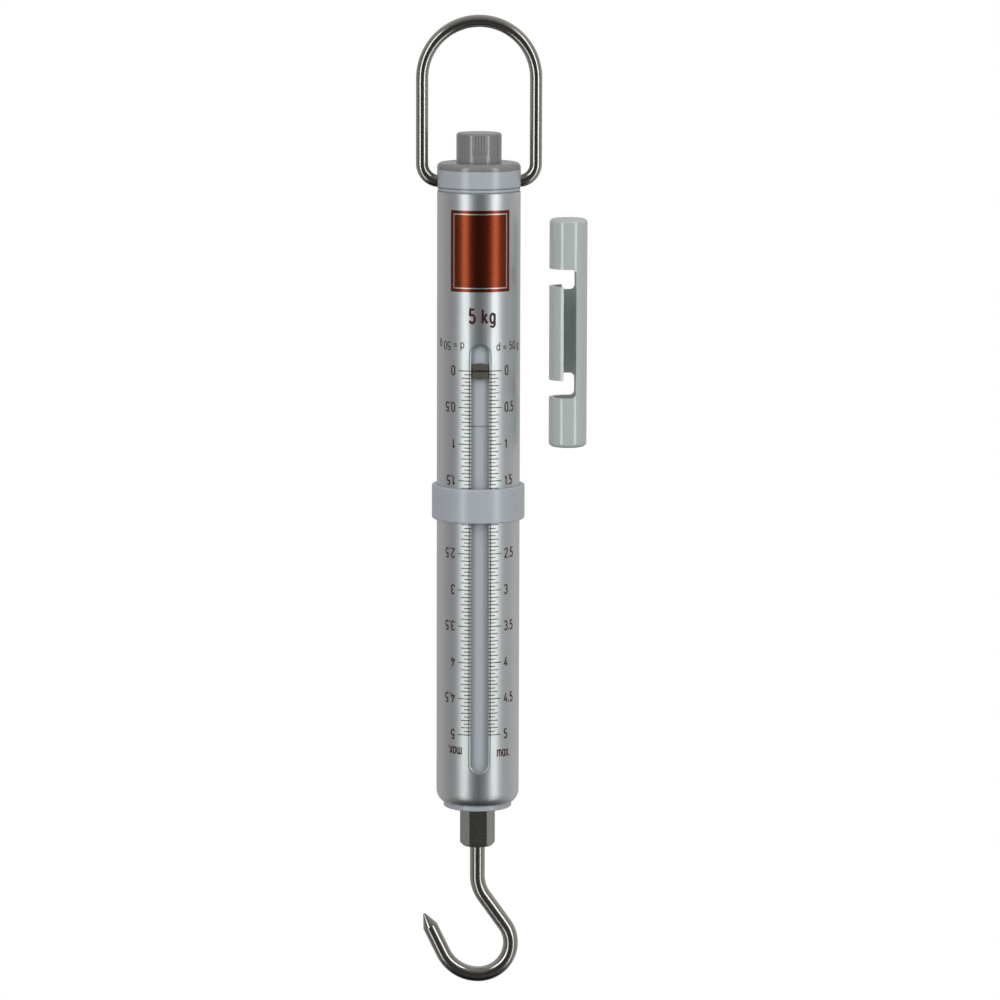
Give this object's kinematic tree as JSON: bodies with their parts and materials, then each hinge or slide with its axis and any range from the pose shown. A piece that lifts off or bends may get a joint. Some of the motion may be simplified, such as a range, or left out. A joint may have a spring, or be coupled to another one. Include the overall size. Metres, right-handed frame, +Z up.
{
  "type": "hanging spring scale",
  "caption": "Tubular spring scale that hangs from a wire bail, with a slotted graduated tube, tare knob, sliding marker ring and swivel hook, and a clip-on bail grip.",
  "frame": {"origin": "inside crown of the bail, on the axis of the tube, where the scale hangs from its support", "axes": "+Z up along the tube, -Y towards the front with the slot and the printed scale, +X to the right seen from the front"},
  "size_m": [0.0699, 0.038, 0.4003],
  "materials": {
    "polished_steel": "polished",
    "zinc_steel": "satin",
    "dark_steel": "satin",
    "spring_steel": "drawn wire",
    "brass": "turned",
    "anodised_aluminium": "satin anodised",
    "dark_grey_plastic": "moulded",
    "light_grey_plastic": "moulded",
    "grip_plastic": "moulded",
    "pointer_plastic": "moulded",
    "pointer_ink": "matt ink"
  },
  "bodies": {
    "bail": {"bail": "polished_steel"},
    "housing": {"housing_tube": "anodised_aluminium", "top_plug": "light_grey_plastic", "bail_ring": "light_grey_plastic", "top_cap": "dark_grey_plastic"},
    "tare_screw": {"tare_knob": "dark_grey_plastic", "tare_spindle": "zinc_steel", "thrust_washer": "brass", "retaining_clip": "zinc_steel"},
    "tare_carriage": {"tare_nut": "brass", "spring_top_anchor": "brass", "main_spring": "spring_steel"},
    "slider": {"slider_head": "light_grey_plastic", "guide_ring": "dark_grey_plastic", "pointer_block": "pointer_plastic", "pointer_line": "pointer_ink", "slider_tube": "light_grey_plastic", "slider_end_plug": "light_grey_plastic", "spring_bottom_anchor": "brass", "anchor_nut": "zinc_steel", "hex_coupling": "dark_steel", "coupling_stud": "zinc_steel", "stud_washer": "zinc_steel", "stud_nut": "zinc_steel", "swivel_washer": "brass"},
    "hook": {"load_hook": "polished_steel", "hook_collar": "zinc_steel"},
    "marker_ring": {"marker_ring": "light_grey_plastic"},
    "grip": {"bail_grip": "grip_plastic"}
  },
  "joints": [
    {"name": "bail_swing", "type": "hinge", "parent": "bail", "child": "housing", "pos_m": [0, 0, -0.0623], "axis": [1, 0, 0], "range_deg": [-150, 150]},
    {"name": "tare_turn", "type": "hinge", "parent": "housing", "child": "tare_screw", "pos_m": [0, 0, -0.0546], "axis": [0, 0, 1], "range_deg": [-540, 540]},
    {"name": "tare_travel", "type": "slide", "parent": "housing", "child": "tare_carriage", "axis": [0, 0, 1], "range_m": [-0.003, 0.003]},
    {"name": "load_travel", "type": "slide", "parent": "tare_carriage", "child": "slider", "axis": [0, 0, -1], "range_m": [-0.001, 0.1525], "stiffness_N_per_m": 327, "springref_m": -0.0033, "deforming": ["main_spring"]},
    {"name": "hook_swivel", "type": "hinge", "parent": "slider", "child": "hook", "pos_m": [0, 0, -0.3338], "axis": [0, 0, 1], "continuous": true},
    {"name": "marker_slide", "type": "slide", "parent": "housing", "child": "marker_ring", "axis": [0, 0, 1], "range_m": [-0.1135, 0.118]},
    {"name": "grip_lift_off", "type": "slide", "parent": "bail", "child": "grip", "axis": [1, 0, 0], "range_m": [0, 0.08]}
  ],
  "couplings": [
    {"joint": "tare_turn", "follows": "tare_travel", "rad_per_m": -3141.5}
  ]
}
